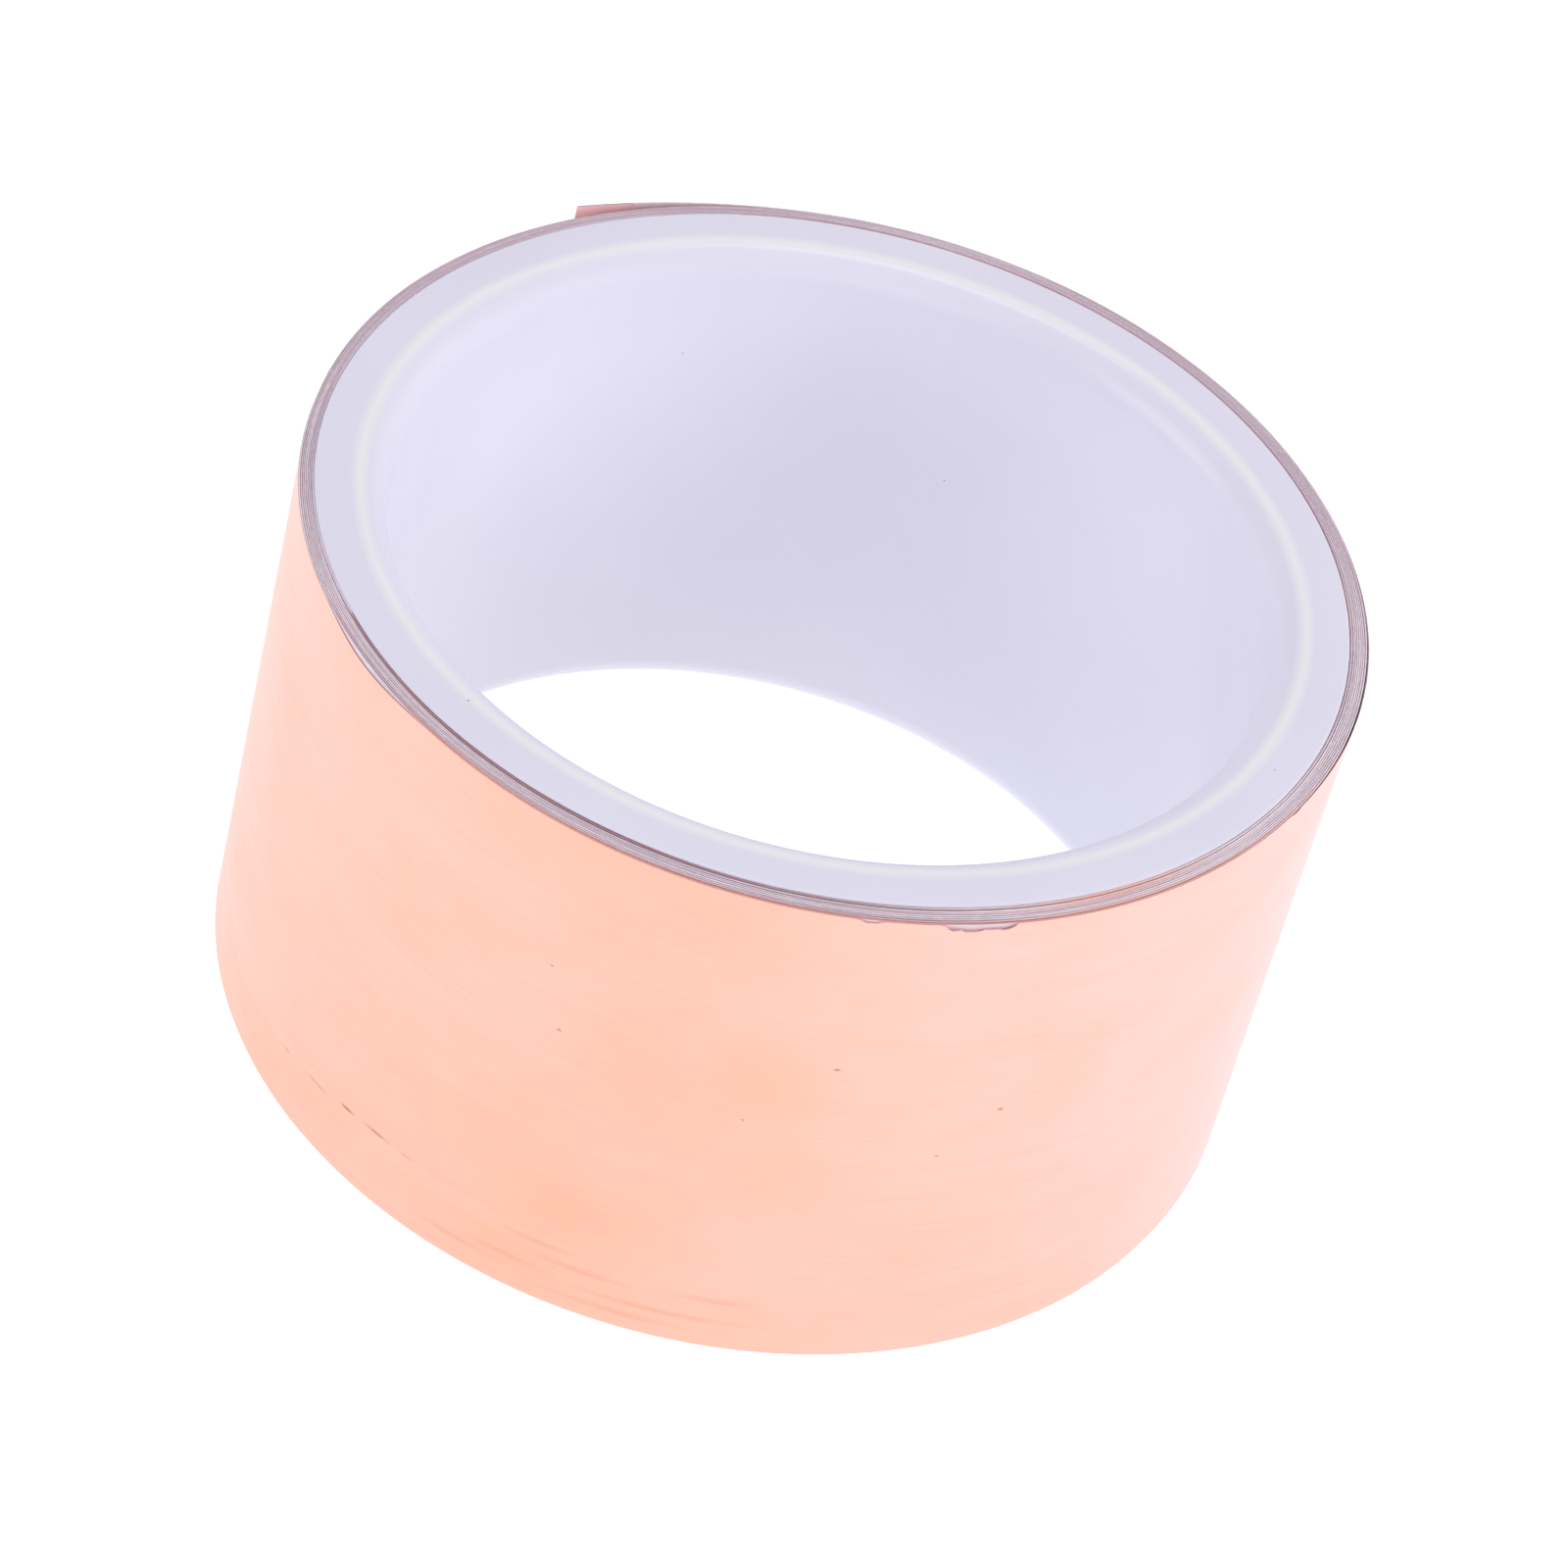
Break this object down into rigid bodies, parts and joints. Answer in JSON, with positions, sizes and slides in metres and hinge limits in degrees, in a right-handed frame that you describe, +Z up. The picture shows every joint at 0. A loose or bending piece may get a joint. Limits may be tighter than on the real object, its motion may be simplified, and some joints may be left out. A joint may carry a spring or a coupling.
{
  "type": "copper foil tape roll",
  "caption": "Short wide roll of adhesive-backed copper foil on a white moulded core with rounded inner edges; the loose end of the tape lifts and its paper liner peels back.",
  "frame": {"origin": "on the core's axis, at the bottom face that the roll stands on", "axes": "+Z up along the bore's axis; -Y is the front, where the turns lie loose; the loose end of the tape is at the back, towards -X"},
  "size_m": [0.0925, 0.0926, 0.0508],
  "materials": {
    "core_plastic": "satin",
    "copper_foil": "satin",
    "adhesive": "gloss",
    "release_liner": "satin"
  },
  "bodies": {
    "roll": {"core": "core_plastic", "foil_wound": "copper_foil", "adhesive_wound": "adhesive", "liner_wound": "release_liner"},
    "tail": {"foil_tail": "copper_foil", "adhesive_tail": "adhesive"},
    "liner_end": {"liner_tail": "release_liner"}
  },
  "joints": [
    {"name": "tail_lift", "type": "hinge", "parent": "roll", "child": "tail", "pos_m": [-0.0103, 0.04482, 0.0254], "axis": [0, 0, -1], "range_deg": [0, 100]},
    {"name": "liner_lift", "type": "hinge", "parent": "roll", "child": "liner_end", "pos_m": [-0.0103, 0.04475, 0.0254], "axis": [0, 0, -1], "range_deg": [0, 50]}
  ],
  "couplings": [
    {"joint": "liner_lift", "follows": "tail_lift", "ratio": 0.5}
  ]
}
